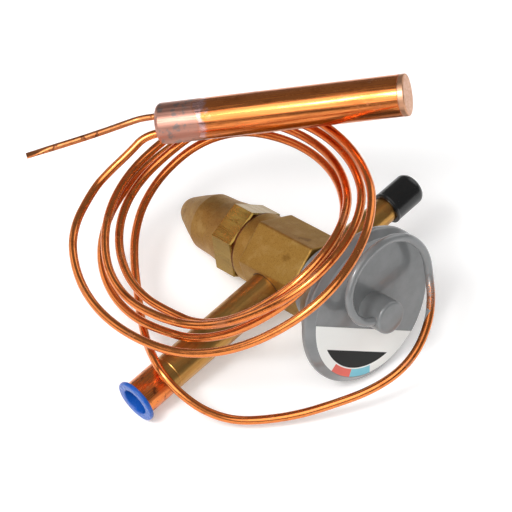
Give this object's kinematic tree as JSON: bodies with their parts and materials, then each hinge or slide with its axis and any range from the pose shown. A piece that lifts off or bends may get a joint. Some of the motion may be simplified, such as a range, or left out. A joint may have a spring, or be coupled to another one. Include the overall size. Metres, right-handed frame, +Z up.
{
  "type": "thermostatic expansion valve",
  "caption": "Expansion valve lying on its element: brass body, copper outlet, stubs with plugs, screwed seal cap, and a sensing bulb on a coiled capillary.",
  "frame": {"origin": "on the floor, under the middle of the valve's own box, without its capillary and bulb", "axes": "+Z up with the valve lying as in the picture; the camera of the picture looks along +Y and down"},
  "size_m": [0.1412, 0.108, 0.0878],
  "materials": {
    "body_brass": "matte forged and blasted",
    "steel": "machined",
    "turned_brass": "turned",
    "spring_steel": "drawn wire",
    "packing": "moulded",
    "copper": "soft annealed",
    "cap_brass": "dark, with machined flats and a cast dome",
    "element_paint": "semi-gloss grey",
    "label": "printed film with plain colour fields",
    "tube_brass": "drawn",
    "blue_plastic": "glossy",
    "black_vinyl": "dipped"
  },
  "bodies": {
    "valve": {"valve_body": "body_brass", "seat_insert": "steel", "rod_guide": "turned_brass", "superheat_spring": "spring_steel", "bottom_plug": "turned_brass", "stem_packing": "packing", "gland_nut": "turned_brass", "element_gasket": "packing", "element_base": "element_paint", "diaphragm": "steel", "element_cover": "element_paint", "capillary_boss": "element_paint", "element_label": "label", "outlet_sleeve": "tube_brass", "outlet_end": "copper", "inlet_tube": "tube_brass", "inlet_strainer": "steel", "bulb_shell": "copper", "bulb_end_disc": "copper", "charging_stub": "copper", "capillary": "copper"},
    "seal_ring": {"cap_gasket": "copper"},
    "cap": {"seal_cap": "cap_brass"},
    "stem": {"adjusting_stem": "turned_brass"},
    "spring_seat": {"spring_guide": "turned_brass"},
    "drive": {"buffer_plate": "steel", "push_rods": "steel", "pin_carrier": "turned_brass", "valve_pin": "steel"},
    "plug": {"outlet_plug": "blue_plastic"},
    "inlet_cover": {"inlet_cap": "black_vinyl"}
  },
  "joints": [
    {"name": "seal_cap_travel", "type": "slide", "parent": "valve", "child": "seal_ring", "axis": [-0.6599, 0.7191, -0.2178], "range_m": [0, 0.012]},
    {"name": "seal_cap_turn", "type": "hinge", "parent": "seal_ring", "child": "cap", "pos_m": [-0.01204, 0.02834, 0.01364], "axis": [-0.6599, 0.7191, -0.2178], "range_deg": [0, 4320]},
    {"name": "stem_turn", "type": "hinge", "parent": "valve", "child": "stem", "pos_m": [-0.0156, 0.03222, 0.01246], "axis": [0.6599, -0.7191, 0.2178], "range_deg": [0, 720]},
    {"name": "spring_guide_travel", "type": "slide", "parent": "valve", "child": "spring_seat", "axis": [0.6599, -0.7191, 0.2178], "range_m": [0, 0.002], "deforming": ["superheat_spring"]},
    {"name": "opening", "type": "slide", "parent": "valve", "child": "drive", "axis": [-0.6599, 0.7191, -0.2178], "range_m": [0, 0.0008], "stiffness_N_per_m": 8000, "deforming": ["superheat_spring", "diaphragm"]},
    {"name": "outlet_plug_pull", "type": "slide", "parent": "valve", "child": "plug", "axis": [-0.7038, -0.6931, -0.1561], "range_m": [0, 0.03]},
    {"name": "inlet_cap_pull", "type": "slide", "parent": "valve", "child": "inlet_cover", "axis": [0.7038, 0.6931, 0.1561], "range_m": [0, 0.04]}
  ],
  "couplings": [
    {"joint": "seal_cap_travel", "follows": "seal_cap_turn", "m_per_rad": 0.00015915},
    {"joint": "stem_turn", "follows": "spring_guide_travel", "rad_per_m": 6283.2}
  ]
}
